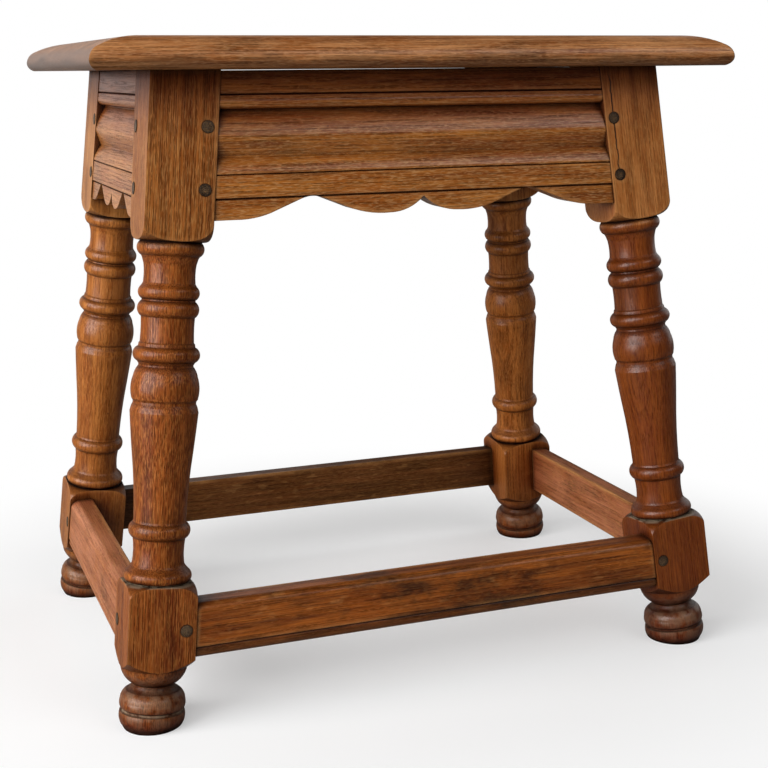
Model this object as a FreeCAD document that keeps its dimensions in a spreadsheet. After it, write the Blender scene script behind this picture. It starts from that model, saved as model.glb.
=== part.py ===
import FreeCAD, Part
import os

import Sketcher
from FreeCAD import Vector

# Joint stool in oak: a moulded board pegged on four turned, splayed legs, with scalloped seat rails and stretchers.
#
# The frame stands on Z = 0, centred on the Z axis, with its long sides along X and its front towards -Y.
# Every rail and stretcher is drawn as if it were the front one, with its length along X, and then turned into
# place. The legs lean outwards both ways, so heights are always measured straight up, and every sloping face is
# worked out from where the legs stand on the floor and where they meet the board.

os.makedirs("parts", exist_ok=True)
doc = FreeCAD.newDocument("joint_stool")

# Driving sizes in millimetres
DRIVING_SIZES = (
    ("stool_height", "480"),
    ("board_length", "480"),
    ("board_width", "320"),
    ("board_thickness", "22"),
    ("board_end_edge_width", "36"),
    ("board_side_edge_width", "18"),
    ("board_edge_height", "15.5"),
    ("board_under_round", "5"),
    ("board_end_overhang", "45.95"),
    ("board_side_overhang", "35.85"),
    ("leg_square", "48.5"),
    ("leg_lean_along", "47.8"),
    ("leg_lean_across", "44.5"),
    ("rail_gap_below_board", "0.7"),
    ("rail_top_slope", "0.4"),
    ("rail_height", "100.9"),
    ("rail_thickness", "22"),
    ("rail_setback", "0.5"),
    ("scallop_rise", "14.3"),
    ("block_below_rail", "15"),
    ("upper_shoulder_round", "13.5"),
    ("stretcher_off_floor", "52.3"),
    ("long_stretcher_height", "38.2"),
    ("end_stretcher_height", "42"),
    ("stretcher_thickness", "18"),
    ("stretcher_setback", "1"),
    ("long_stretcher_round", "5.5"),
    ("end_stretcher_round", "6.5"),
    ("stretcher_bead_height", "6.5"),
    ("stretcher_bead_depth", "1.4"),
    ("block_past_stretcher", "9.2"),
    ("lower_shoulder_round", "8.5"),
    ("rail_tenon_thickness", "9"),
    ("rail_tenon_inset", "9"),
    ("rail_tenon_shoulder", "12"),
    ("stretcher_tenon_thickness", "8.5"),
    ("stretcher_tenon_inset", "4.5"),
    ("stretcher_tenon_shoulder", "6"),
    ("tenon_end_gap", "2"),
    ("mortise_clearance", "0.2"),
    ("peg_diameter", "8.5"),
    ("peg_tip_diameter", "6.5"),
    ("peg_edge_distance", "7.3"),
    ("peg_end_gap", "5"),
    ("peg_stands_proud", "0.4"),
    ("peg_clearance", "0.15"),
    ("top_peg_diameter", "10"),
    ("top_peg_depth", "45"),
    ("cut_overrun", "10"),
)

# Heights of the pegs below the top of the rail, and of the legs' lower block, as shares of its height
RAIL_PEG_SHARES = (0.37, 0.79)
STRETCHER_PEG_SHARES = (0.5,)

# Thumbnail moulding of the board's edge, from the nose up: shares of its width and height, with the points that
# its two arcs pass through
THUMBNAIL_SHARES = (
    ((0.961, 0.292), (0.819, 0.574)),
    ((0.500, 0.848), (0.000, 1.000)),
)
UNDER_ROUND_SHARES = (0.167, 0.500)

# Section of the rail moulding from the top edge down: share of the rail's height, share of its thickness, and for
# an arc the point that it passes through
MOULDING_SHARES = (
    ((0.152, 0.000), None),
    ((0.160, 0.060), None),
    ((0.168, 0.000), None),
    ((0.194, 0.000), None),
    ((0.258, 0.150), (0.240, 0.040)),
    ((0.263, 0.270), None),
    ((0.272, 0.275), None),
    ((0.428, 0.010), (0.352, 0.105)),
    ((0.476, 0.030), (0.458, 0.006)),
    ((0.570, 0.205), None),
    ((0.579, 0.205), None),
    ((0.678, 0.000), (0.630, 0.065)),
    ((0.690, 0.000), None),
    ((0.696, 0.040), None),
    ((0.702, 0.000), None),
    ((0.850, 0.000), None),
    ((0.858, 0.075), None),
    ((0.866, 0.035), None),
)

# Lower edge of a rail from its middle to its shoulder: share of the half length, share of the scallop's rise
# above the lowest line, and for an arc the point that it passes through
SCALLOP_SHARES = (
    ((0.167, 0.029), (0.083, 0.199)),
    ((0.341, 0.262), (0.254, 0.056)),
    ((0.482, 0.881), None),
    ((0.595, 0.881), (0.538, 1.000)),
    ((0.738, 0.261), None),
    ((0.900, 0.000), (0.805, 0.070)),
)
SCALLOP_CUSP_SHARE = 0.797

# Turning between the two square blocks, from the lower block up: share of the height between the blocks, share
# of half the leg's square, and for an arc the point that it passes through
BALUSTER_SHARES = (
    ((0.004, 0.940), None),
    ((0.037, 0.900), (0.015, 0.993)),
    ((0.048, 0.800), None),
    ((0.054, 0.767), None),
    ((0.131, 0.767), (0.085, 0.738)),
    ((0.178, 0.779), (0.154, 0.903)),
    ((0.184, 0.759), None),
    ((0.389, 0.891), (0.304, 0.812)),
    ((0.505, 0.994), (0.460, 0.957)),
    ((0.520, 0.957), None),
    ((0.529, 0.915), None),
    ((0.536, 0.915), None),
    ((0.543, 0.958), None),
    ((0.608, 0.932), (0.577, 0.992)),
    ((0.638, 0.796), (0.628, 0.865)),
    ((0.643, 0.790), None),
    ((0.651, 0.837), None),
    ((0.695, 0.825), (0.673, 0.969)),
    ((0.704, 0.812), None),
    ((0.708, 0.779), None),
    ((0.781, 0.775), (0.742, 0.765)),
    ((0.828, 0.775), (0.804, 0.890)),
    ((0.832, 0.770), None),
    ((0.869, 0.821), (0.852, 0.886)),
    ((0.874, 0.784), None),
    ((0.880, 0.753), None),
    ((0.935, 0.759), (0.907, 0.738)),
    ((0.952, 0.808), None),
    ((0.958, 0.840), None),
    ((0.996, 0.915), (0.978, 0.967)),
)
BLOCK_QUIRK_SHARE = 0.885

# Turned foot, from the floor up: share of the height of the lower block's end, and of half the leg's square
FOOT_SHARES = (
    ((0.000, 0.870), None),
    ((0.242, 0.960), (0.126, 0.970)),
    ((0.263, 0.900), None),
    ((0.288, 0.900), None),
    ((0.317, 0.955), None),
    ((0.440, 0.958), (0.378, 0.975)),
    ((0.598, 0.800), (0.540, 0.905)),
    ((0.671, 0.640), (0.629, 0.690)),
    ((0.687, 0.625), None),
    ((0.705, 0.625), None),
    ((0.724, 0.665), None),
    ((1.000, 0.985), (0.891, 0.930)),
)
FOOT_TOE_SHARE = 0.62

# Where the middle of a quarter-round lies, as a share of its size from the two faces that it joins
ROUND_SHARE = 0.293

# Worked-out sizes, as formulas of the driving sizes
RISE = "(sizes.stool_height - sizes.board_thickness)"
HALF_LEG = "sizes.leg_square / 2"
SEAT_FRAME_LENGTH = "(sizes.board_length - 2 * sizes.board_end_overhang - sizes.leg_square)"
SEAT_FRAME_WIDTH = "(sizes.board_width - 2 * sizes.board_side_overhang - sizes.leg_square)"
FOOT_FRAME_LENGTH = f"({SEAT_FRAME_LENGTH} + 2 * sizes.leg_lean_along)"
FOOT_FRAME_WIDTH = f"({SEAT_FRAME_WIDTH} + 2 * sizes.leg_lean_across)"
RAIL_TOP = f"({RISE} - sizes.rail_gap_below_board)"
RAIL_BOTTOM = f"({RAIL_TOP} - sizes.rail_height)"
UPPER_BLOCK_END = f"({RAIL_BOTTOM} - sizes.block_below_rail)"
LOWER_BLOCK_TOP = "(sizes.stretcher_off_floor + sizes.end_stretcher_height + sizes.block_past_stretcher)"
LOWER_BLOCK_END = "(sizes.stretcher_off_floor - sizes.block_past_stretcher)"
PEG_DEPTH = (
    "(sizes.leg_square - sizes.peg_edge_distance - sizes.peg_diameter / 2 - sizes.peg_end_gap)"
)

sizes = doc.addObject("Spreadsheet::Sheet", "sizes")
for row, (alias, value) in enumerate(DRIVING_SIZES, start=1):
    sizes.set(f"A{row}", value)
    sizes.setAlias(f"A{row}", alias)
doc.recompute()


class Side:
    """One side of the frame, drawn as the front: its leg positions and stretcher as formulas, and its turn."""

    def __init__(self, along_foot, along_lean, out_foot, out_lean, stretcher_height, stretcher_round, turn):
        self.along_foot = along_foot
        self.along_lean = along_lean
        self.out_foot = out_foot
        self.out_lean = out_lean
        self.stretcher_top = f"(sizes.stretcher_off_floor + {stretcher_height})"
        self.stretcher_round = stretcher_round
        self.turn = turn

    def inner_face(self, height):
        """Distance from the middle of the side to the inner face of its legs, at a height."""
        return f"({self.along_foot} / 2 - {self.along_lean} * ({height}) / {RISE} - {HALF_LEG})"

    def depth(self, height, inwards):
        """Place of a line that lies a distance inwards of the legs' outer face, at a height."""
        return f"({self.out_lean} * ({height}) / {RISE} - {self.out_foot} / 2 - {HALF_LEG} + {inwards})"

    def placement(self):
        """Turn of the side from the front to where it stands."""
        return f"placement(vector(0; 0; 0); rotation(vector(0; 0; 1); {self.turn}))"


LONG_SIDE = Side(
    FOOT_FRAME_LENGTH, "sizes.leg_lean_along", FOOT_FRAME_WIDTH, "sizes.leg_lean_across",
    "sizes.long_stretcher_height", "sizes.long_stretcher_round", "0",
)
END_SIDE = Side(
    FOOT_FRAME_WIDTH, "sizes.leg_lean_across", FOOT_FRAME_LENGTH, "sizes.leg_lean_along",
    "sizes.end_stretcher_height", "sizes.end_stretcher_round", "-90",
)


def new_sketch(body, name, plane_role):
    """Adds a sketch to a body, on one of the body's own origin planes."""
    sketch = body.newObject("Sketcher::SketchObject", f"{body.Name}_{name}")
    plane = next(f for f in body.Origin.OriginFeatures if f.Role == plane_role)
    sketch.AttachmentSupport = [(plane, "")]
    sketch.MapMode = "FlatFace"
    return sketch


def pin_point(sketch, geometry, position, formulas, constraints, bindings):
    """Holds one point of a sketch at a place given by two formulas."""
    for kind, formula in zip(("DistanceX", "DistanceY"), formulas):
        value = float(sizes.evalExpression(formula))
        bindings.append((len(constraints), formula))
        constraints.append(Sketcher.Constraint(kind, -1, 1, geometry, position, value))


def draw_outline(sketch, start, steps):
    """Draws a closed outline from a start point through steps of (end point, point passed or None).

    Points are pairs of formulas. A step with no point passed is a straight line, the others are arcs, and a last
    line closes the outline.
    """
    def place(point):
        x, y = (float(sizes.evalExpression(formula)) for formula in point)
        return Vector(x, y, 0)

    first_constraint = sketch.ConstraintCount
    constraints = []
    bindings = []
    corners = []
    begin = start
    for end, passed in [*steps, (start, None)]:
        if passed is None:
            index = sketch.addGeometry(Part.LineSegment(place(begin), place(end)), False)
            flipped = False
        else:
            index = sketch.addGeometry(Part.Arc(place(begin), place(passed), place(end)), False)
            flipped = (sketch.getPoint(index, 1) - place(begin)).Length > (
                sketch.getPoint(index, 2) - place(begin)
            ).Length
            through = sketch.addGeometry(Part.Point(place(passed)), True)
            pin_point(sketch, through, 1, passed, constraints, bindings)
            constraints.append(Sketcher.Constraint("PointOnObject", through, 1, index))
        corners.append((index, 2, 1) if flipped else (index, 1, 2))
        pin_point(sketch, index, corners[-1][1], begin, constraints, bindings)
        begin = end
    for (index, _, end_position), (following, start_position, _) in zip(corners, corners[1:] + corners[:1]):
        constraints.append(
            Sketcher.Constraint("Coincident", index, end_position, following, start_position)
        )
    sketch.addConstraint(constraints)
    for number, formula in bindings:
        sketch.setExpression(f"Constraints[{first_constraint + number}]", formula)


def straight(points):
    """Steps of an outline whose corners are joined by straight lines."""
    return [(point, None) for point in points]


def mirrored(steps, start):
    """Steps that return along the mirror image of an outline, seen across its vertical axis."""
    ends = [start] + [end for end, _ in steps]
    return [
        (flip(ends[number]), None if passed is None else flip(passed))
        for number, (_, passed) in reversed(list(enumerate(steps)))
    ]


def flip(point):
    """Mirror image of a point across the vertical axis of its sketch."""
    return (f"-({point[0]})", point[1])


def extrude(body, name, sketch, length):
    """Pads a sketch equally to both sides of its plane."""
    pad = body.newObject("PartDesign::Pad", f"{body.Name}_{name}")
    pad.Profile = sketch
    pad.SideType = "Symmetric"
    pad.setExpression("Length", length)
    return pad


def saw_through(body, name, sketch):
    """Cuts a sketch right through a body, to both sides of the sketch's plane."""
    pocket = body.newObject("PartDesign::Pocket", f"{body.Name}_{name}")
    pocket.Profile = sketch
    pocket.SideType = "Symmetric"
    pocket.Type = "ThroughAll"
    return pocket


def board_of_side(name, side, section, elevation):
    """Makes a piece of a side: its section run along the side, then sawn to its outline seen from the front.

    section and elevation are each a start point and the steps of an outline.
    """
    body = doc.addObject("PartDesign::Body", name)
    section_sketch = new_sketch(body, "section", "YZ_Plane")
    draw_outline(section_sketch, *section)
    extrude(body, "run", section_sketch, f"{side.along_foot} + sizes.leg_square")
    waste_sketch = new_sketch(body, "waste", "XZ_Plane")
    draw_outline(waste_sketch, *elevation)
    reach = f"(({side.along_foot} + sizes.leg_square) / 2 + sizes.cut_overrun)"
    bottom = "-sizes.cut_overrun"
    top = "(sizes.stool_height + sizes.cut_overrun)"
    outer = [(reach, bottom), (reach, top), (f"-{reach}", top)]
    draw_outline(waste_sketch, (f"-{reach}", bottom), straight(outer))
    saw_through(body, "sawn", waste_sketch)
    body.setExpression("Placement", side.placement())
    return body


def between_shoulders(side, low, high):
    """Outline from the front of a board that fits between the legs, from one height to another."""
    at_low = side.inner_face(low)
    at_high = side.inner_face(high)
    return (f"-{at_low}", low), straight([(at_low, low), (at_high, high), (f"-{at_high}", high)])


def tenon_pair(side, low, high, length, root):
    """Outline from the front of two tenons, joined along their upper half through the board that carries them."""
    middle = f"(({low} + {high}) / 2)"
    root_end = f"({side.inner_face(low)} - {root})"
    low_end = f"({side.inner_face(low)} + {length})"
    high_end = f"({side.inner_face(high)} + {length})"
    right_half = [(root_end, middle), (root_end, low), (low_end, low), (high_end, high)]
    left_half = [flip(point) for point in reversed(right_half[1:])]
    return (f"-{root_end}", middle), straight([*right_half, *left_half])


def slab_section(side, low, high, front, back):
    """Section of a slab that lies parallel to the legs' outer face, between two heights."""
    corners = [(side.depth(low, back), low), (side.depth(high, back), high), (side.depth(high, front), high)]
    return (side.depth(low, front), low), straight(corners)


def tenon_slab(name, side, low, high, front, thickness, clearance):
    """Makes the two tenons of a rail or stretcher, or with a clearance the space of their mortises.

    Each stops short of the tenon that comes into the leg from its other inner face.
    """
    length = f"(sizes.leg_square - {front} - {thickness} - sizes.tenon_end_gap + {clearance})"
    low = f"({low} - {clearance})"
    high = f"({high} + {clearance})"
    section = slab_section(
        side, low, high, f"({front} - {clearance})", f"({front} + {thickness} + {clearance})"
    )
    return board_of_side(name, side, section, tenon_pair(side, low, high, length, thickness))


def rail_tenons(name, side, clearance="0"):
    """Tenons of a seat rail, or the mortises for them."""
    low = f"({RAIL_BOTTOM} + sizes.rail_tenon_shoulder)"
    high = f"({RAIL_TOP} - sizes.rail_tenon_shoulder)"
    front = "(sizes.rail_setback + sizes.rail_tenon_inset)"
    return tenon_slab(name, side, low, high, front, "sizes.rail_tenon_thickness", clearance)


def stretcher_tenons(name, side, clearance="0"):
    """Tenons of a stretcher, or the mortises for them."""
    low = "(sizes.stretcher_off_floor + sizes.stretcher_tenon_shoulder)"
    high = f"({side.stretcher_top} - sizes.stretcher_tenon_shoulder)"
    front = "(sizes.stretcher_setback + sizes.stretcher_tenon_inset)"
    return tenon_slab(name, side, low, high, front, "sizes.stretcher_tenon_thickness", clearance)


def moulded_board(name, side):
    """A seat rail between its shoulders: moulded on its face and scalloped along its lower edge."""
    def on_face(share):
        height = f"({RAIL_TOP} - {share[0]} * sizes.rail_height)"
        inwards = f"(sizes.rail_setback + {share[1]} * sizes.rail_thickness)"
        return (side.depth(height, inwards), height)

    low = f"({RAIL_BOTTOM} - sizes.cut_overrun)"
    high = f"({RAIL_TOP} + sizes.cut_overrun)"
    strip_depth = f"(sizes.rail_setback + {MOULDING_SHARES[-1][0][1]} * sizes.rail_thickness)"
    back = "(sizes.rail_setback + sizes.rail_thickness)"
    section_start = (side.depth(high, "sizes.rail_setback"), high)
    section = [(on_face(end), passed and on_face(passed)) for end, passed in MOULDING_SHARES]
    section += straight(
        [(side.depth(low, strip_depth), low), (side.depth(low, back), low), (side.depth(high, back), high)]
    )

    def on_edge(share):
        return (
            f"({share[0]} * {side.inner_face(RAIL_BOTTOM)})",
            f"({RAIL_BOTTOM} + {share[1]} * sizes.scallop_rise)",
        )

    shoulder_bottom = (side.inner_face(RAIL_BOTTOM), RAIL_BOTTOM)
    sloped_top = f"({RAIL_TOP} + sizes.rail_top_slope)"
    left_top = (f"-{side.inner_face(RAIL_TOP)}", RAIL_TOP)
    right_top = (side.inner_face(sloped_top), sloped_top)
    cusp = ("0", f"({RAIL_BOTTOM} + {SCALLOP_CUSP_SHARE} * sizes.scallop_rise)")
    right_half = [(on_edge(end), passed and on_edge(passed)) for end, passed in SCALLOP_SHARES]
    right_half.append((shoulder_bottom, None))
    elevation = [(flip(shoulder_bottom), None), *mirrored(right_half, cusp), *right_half, (right_top, None)]
    return board_of_side(name, side, (section_start, section), (left_top, elevation))


def stretcher_board(name, side):
    """A stretcher between its shoulders: its upper outer edge is worn round, its lower one has a scratched bead."""
    low = "sizes.stretcher_off_floor"
    high = side.stretcher_top
    top_round = side.stretcher_round
    front = "sizes.stretcher_setback"
    back = "(sizes.stretcher_setback + sizes.stretcher_thickness)"

    def at(height, inwards):
        return (side.depth(height, inwards), height)

    eased = f"({front} + {ROUND_SHARE} * {top_round})"
    bead_top = f"({low} + sizes.stretcher_bead_height)"
    quirk_height = f"({bead_top} + sizes.stretcher_bead_depth / 2)"
    quirk_bottom = f"({front} + sizes.stretcher_bead_depth)"
    bead_middle = f"({low} + sizes.stretcher_bead_height / 2)"
    bead_nose = f"({front} + sizes.stretcher_bead_depth / 2)"
    bead_foot = f"({front} + sizes.stretcher_bead_depth * 2)"
    steps = [
        (at(f"({high} - {top_round})", front), at(f"({high} - {ROUND_SHARE} * {top_round})", eased)),
        (at(f"({quirk_height} + sizes.stretcher_bead_depth / 2)", front), None),
        (at(quirk_height, quirk_bottom), None),
        (at(low, bead_foot), at(bead_middle, bead_nose)),
        (at(low, back), None),
        (at(high, back), None),
    ]
    section = (at(high, f"({front} + {top_round})"), steps)
    return board_of_side(name, side, section, between_shoulders(side, low, high))


def joined(name, base, tools):
    """One solid made of a base and the pieces worked on it."""
    fused = doc.addObject("Part::MultiFuse", name)
    fused.Shapes = [base, *tools]
    fused.Refine = True
    return fused


def bored(name, base, tool):
    """A piece with a space cut out of it."""
    cut = doc.addObject("Part::Cut", name)
    cut.Base = base
    cut.Tool = tool
    cut.Label = name
    return cut


def peg_group(name, side, heights, ends=(-1, 1), clearance="0"):
    """Tapered pegs driven square to the legs' outer face, or with a clearance the holes for them.

    Each stands a little proud of the leg and stops before the pegs that come from the leg's other face.
    """
    pegs = []
    proud = f"(sizes.peg_stands_proud + {clearance})"
    slope = f"atan({side.out_lean} / {RISE})"
    for height in heights:
        for end in ends:
            peg = doc.addObject("Part::Cone", f"{name}_{len(pegs) + 1}")
            peg.setExpression("Radius1", f"sizes.peg_diameter / 2 + {clearance}")
            peg.setExpression("Radius2", f"sizes.peg_tip_diameter / 2 + {clearance}")
            peg.setExpression("Height", f"{PEG_DEPTH} + {proud} + {clearance}")
            along = f"{end} * ({side.inner_face(height)} + sizes.peg_edge_distance)"
            across = f"{side.depth(height, '0')} - {proud} * cos({slope})"
            up = f"{height} + {proud} * sin({slope})"
            drive = f"rotation(vector(-1; 0; 0); 90 deg + {slope})"
            peg.setExpression("Placement", f"placement(vector({along}; {across}; {up}); {drive})")
            pegs.append(peg)
    group = doc.addObject("Part::Compound", name)
    group.Links = pegs
    group.setExpression("Placement", side.placement())
    return group


def heights_below(top, height, shares):
    """Heights at shares of a piece's height below its top."""
    return [f"({top} - {share} * {height})" for share in shares]


RAIL_PEG_HEIGHTS = heights_below(RAIL_TOP, "sizes.rail_height", RAIL_PEG_SHARES)
LOWER_BLOCK_HEIGHT = f"({LOWER_BLOCK_TOP} - {LOWER_BLOCK_END})"
STRETCHER_PEG_HEIGHTS = heights_below(LOWER_BLOCK_TOP, LOWER_BLOCK_HEIGHT, STRETCHER_PEG_SHARES)


def top_peg_group(name, corners, clearance="0"):
    """Straight pegs through the board into the middle of the leg tops, or the holes for them."""
    pegs = []
    for x_sign, y_sign in corners:
        peg = doc.addObject("Part::Cylinder", f"{name}_{len(pegs) + 1}")
        peg.setExpression("Radius", f"sizes.top_peg_diameter / 2 + {clearance}")
        peg.setExpression("Height", f"sizes.board_thickness + sizes.top_peg_depth + 2 * {clearance}")
        x = f"{x_sign} * {SEAT_FRAME_LENGTH} / 2"
        y = f"{y_sign} * {SEAT_FRAME_WIDTH} / 2"
        z = f"{RISE} - sizes.top_peg_depth - {clearance}"
        peg.setExpression("Placement", f"placement(vector({x}; {y}; {z}); rotation(vector(0; 0; 1); 0))")
        pegs.append(peg)
    group = doc.addObject("Part::Compound", name)
    group.Links = pegs
    return group


def seat_board():
    """The board: a thumbnail moulding runs round all four edges and meets in mitres at the corners."""
    nose_height = f"({RISE} + sizes.board_thickness - sizes.board_edge_height)"

    def edge(half_size, width):
        """Steps from the lower face round the nose to the upper face, at half a size from the middle."""
        width_share, height_share = UNDER_ROUND_SHARES
        passed = (
            f"({half_size} - {width_share} * sizes.board_under_round)",
            f"({RISE} + {height_share} * (sizes.board_thickness - sizes.board_edge_height))",
        )
        steps = [((half_size, nose_height), passed)]
        for middle, end in THUMBNAIL_SHARES:
            points = [
                (
                    f"({half_size} - (1 - {share[0]}) * {width})",
                    f"({nose_height} + {share[1]} * sizes.board_edge_height)",
                )
                for share in (end, middle)
            ]
            steps.append((points[0], points[1]))
        return steps

    body = doc.addObject("PartDesign::Body", "board_blank")
    half_width = "(sizes.board_width / 2)"
    half_length = "(sizes.board_length / 2)"
    section = new_sketch(body, "section", "YZ_Plane")
    lower_corner = (f"({half_width} - sizes.board_under_round)", RISE)
    right = edge(half_width, "sizes.board_side_edge_width")
    returned = mirrored(right, lower_corner)
    upper_left = (flip(right[-1][0]), None)
    draw_outline(section, lower_corner, [*right, upper_left, *returned])
    extrude(body, "run", section, "sizes.board_length")

    ends = new_sketch(body, "ends", "XZ_Plane")
    low = f"({RISE} - sizes.cut_overrun)"
    high = "(sizes.stool_height + sizes.cut_overrun)"
    reach = f"({half_length} + sizes.cut_overrun)"
    lower_end = f"({half_length} - sizes.board_under_round)"
    upper_end = f"({half_length} - sizes.board_end_edge_width)"
    waste = [((lower_end, RISE), None), *edge(half_length, "sizes.board_end_edge_width")]
    waste += straight([(upper_end, high), (reach, high), (reach, low)])
    start = (lower_end, low)
    draw_outline(ends, start, waste)
    draw_outline(ends, flip(start), [(flip(end), passed and flip(passed)) for end, passed in waste])
    saw_through(body, "ends_moulded", ends)
    return body


def turned_leg():
    """The front left leg: a square blank that leans both ways, turned round its own axis between its blocks."""
    side = LONG_SIDE
    outer_face = [f"-({side.inner_face(height)} + sizes.leg_square)" for height in ("0", RISE)]
    corners = [(f"-{side.inner_face('0')}", "0"), (f"-{side.inner_face(RISE)}", RISE), (outer_face[1], RISE)]
    elevation = ((outer_face[0], "0"), straight(corners))
    body = board_of_side("leg_turned", side, slab_section(side, "0", RISE, "0", "sizes.leg_square"), elevation)

    lean = f"sqrt(sizes.leg_lean_along ^ 2 + sizes.leg_lean_across ^ 2)"
    stretch = f"sqrt((sizes.leg_lean_along / {RISE}) ^ 2 + (sizes.leg_lean_across / {RISE}) ^ 2 + 1)"
    foot_middle = f"vector(-{FOOT_FRAME_LENGTH} / 2; 0; {FOOT_FRAME_WIDTH} / 2)"
    tilt = f"rotation(vector(-sizes.leg_lean_across; 0; -sizes.leg_lean_along); atan({lean} / {RISE}))"
    corner_radius = "(sizes.leg_square / sqrt(2))"
    clear_radius = f"({corner_radius} + sizes.cut_overrun)"
    quirk_radius = f"({BLOCK_QUIRK_SHARE} * {HALF_LEG})"

    def turn_away(name, start, steps):
        """Turns an outline away from the leg, round the axis that leans both ways."""
        waste = new_sketch(body, name, "XZ_Plane")
        waste.setExpression("AttachmentOffset", f"placement({foot_middle}; {tilt})")
        draw_outline(waste, start, steps)
        groove = body.newObject("PartDesign::Groove", f"leg_{name}_turned")
        groove.Profile = waste
        groove.ReferenceAxis = (waste, ["V_Axis"])

    def point(height, radius):
        """A point of the turning, from a height measured straight up and a radius."""
        return (radius, f"({stretch} * ({height}))")

    def turned(shares, bottom, span):
        """Steps of a turned profile given by shares of its height and of half the leg's square."""
        def at(share):
            return point(f"{bottom} + {share[0]} * {span}", f"({share[1]} * {HALF_LEG})")

        return [(at(end), passed and at(passed)) for end, passed in shares]

    def shoulder_middle(block_end, rounding):
        """The point that a block's rounded shoulder passes through on its way from the quirk to the corner."""
        radius = f"({corner_radius} - {ROUND_SHARE} * ({corner_radius} - {quirk_radius}))"
        return point(f"{block_end} + {ROUND_SHARE} * {rounding}", radius)

    lower_round = "(-sizes.lower_shoulder_round)"
    upper_round = "sizes.upper_shoulder_round"
    lower_corner_height = f"({LOWER_BLOCK_TOP} + {lower_round})"
    upper_corner_height = f"({UPPER_BLOCK_END} + {upper_round})"
    span = f"({UPPER_BLOCK_END} - {LOWER_BLOCK_TOP})"
    baluster = [
        (point(lower_corner_height, corner_radius), None),
        (point(LOWER_BLOCK_TOP, quirk_radius), shoulder_middle(LOWER_BLOCK_TOP, lower_round)),
        *turned(BALUSTER_SHARES, LOWER_BLOCK_TOP, span),
        (point(UPPER_BLOCK_END, quirk_radius), None),
        (point(upper_corner_height, corner_radius), shoulder_middle(UPPER_BLOCK_END, upper_round)),
        (point(upper_corner_height, clear_radius), None),
    ]
    turn_away("baluster", point(lower_corner_height, clear_radius), baluster)

    below_floor = "-sizes.cut_overrun"
    chamfer_height = f"({LOWER_BLOCK_END} + sizes.lower_shoulder_round)"
    foot = [
        (point(below_floor, f"({FOOT_TOE_SHARE} * {HALF_LEG})"), None),
        *turned(FOOT_SHARES, "0", LOWER_BLOCK_END),
        (point(chamfer_height, corner_radius), None),
        (point(chamfer_height, clear_radius), None),
    ]
    turn_away("foot", point(below_floor, clear_radius), foot)

    return body


def mirror_image(name, source, normal):
    """The twin of a piece on the other side of the stool."""
    twin = doc.addObject("Part::Mirroring", name)
    twin.Source = source
    twin.Normal = normal
    twin.Label = name
    return twin


ACROSS_X = Vector(1, 0, 0)
ACROSS_Y = Vector(0, 1, 0)
CORNERS = [(x_sign, y_sign) for y_sign in (-1, 1) for x_sign in (-1, 1)]
nodes = []

# Seat board and its pegs
board_holes = top_peg_group("board_peg_holes", CORNERS, "sizes.peg_clearance")
nodes.append(bored("top_board", seat_board(), board_holes))
nodes.append(top_peg_group("top_pegs", CORNERS))

# Legs: the front left one is bored for its four tenons and seven pegs, the others are its mirror images
gap = "sizes.mortise_clearance"
peg_gap = "sizes.peg_clearance"
leg_spaces = [
    rail_tenons("rail_mortise_long", LONG_SIDE, gap),
    rail_tenons("rail_mortise_end", END_SIDE, gap),
    stretcher_tenons("stretcher_mortise_long", LONG_SIDE, gap),
    stretcher_tenons("stretcher_mortise_end", END_SIDE, gap),
    peg_group("leg_holes_long", LONG_SIDE, RAIL_PEG_HEIGHTS + STRETCHER_PEG_HEIGHTS, (-1,), peg_gap),
    peg_group("leg_holes_end", END_SIDE, RAIL_PEG_HEIGHTS + STRETCHER_PEG_HEIGHTS, (1,), peg_gap),
]
top_hole = top_peg_group("leg_top_hole", CORNERS[:1], peg_gap)
leg = bored("leg_front_left", turned_leg(), joined("leg_spaces", top_hole, leg_spaces))
leg_right = mirror_image("leg_front_right", leg, ACROSS_X)
nodes += [leg, leg_right]
nodes.append(mirror_image("leg_back_left", leg, ACROSS_Y))
nodes.append(mirror_image("leg_back_right", leg_right, ACROSS_Y))

# Rails and stretchers of the two kinds of side, with their pegs, each with its twin on the other side
SIDES = (
    ("front", "back", LONG_SIDE, ACROSS_Y),
    ("left", "right", END_SIDE, ACROSS_X),
)
for place, opposite, side, across in SIDES:
    rail_wood = joined(
        f"rail_wood_{place}",
        moulded_board(f"rail_moulded_{place}", side),
        [rail_tenons(f"rail_tenons_{place}", side)],
    )
    rail_holes = peg_group(f"rail_holes_{place}", side, RAIL_PEG_HEIGHTS, clearance=peg_gap)
    stretcher_wood = joined(
        f"stretcher_wood_{place}",
        stretcher_board(f"stretcher_sawn_{place}", side),
        [stretcher_tenons(f"stretcher_tenons_{place}", side)],
    )
    stretcher_holes = peg_group(f"stretcher_holes_{place}", side, STRETCHER_PEG_HEIGHTS, clearance=peg_gap)
    pieces = (
        ("rail", bored(f"rail_{place}", rail_wood, rail_holes)),
        ("stretcher", bored(f"stretcher_{place}", stretcher_wood, stretcher_holes)),
        ("rail_pegs", peg_group(f"rail_pegs_{place}", side, RAIL_PEG_HEIGHTS)),
        ("stretcher_pegs", peg_group(f"stretcher_pegs_{place}", side, STRETCHER_PEG_HEIGHTS)),
    )
    for kind, piece in pieces:
        nodes += [piece, mirror_image(f"{kind}_{opposite}", piece, across)]

doc.recompute()

for item in doc.Objects:
    if {"Invalid", "Error"} & set(item.State):
        raise RuntimeError(f"{item.Label} failed: {item.State} {item.getStatusString()}")
for node in nodes:
    if node.Shape.isNull() or not node.Shape.isValid():
        raise RuntimeError(f"{node.Label} has no valid shape")
    print(f"{node.Label}: {len(node.Shape.Solids)} solids, {node.Shape.Volume:.0f} mm3")
    node.Shape.exportStep(f"parts/{node.Label}.step")
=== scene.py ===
import enum
import logging
import math
from dataclasses import dataclass

import bmesh
import bpy
from mathutils import Matrix, Vector


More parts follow.
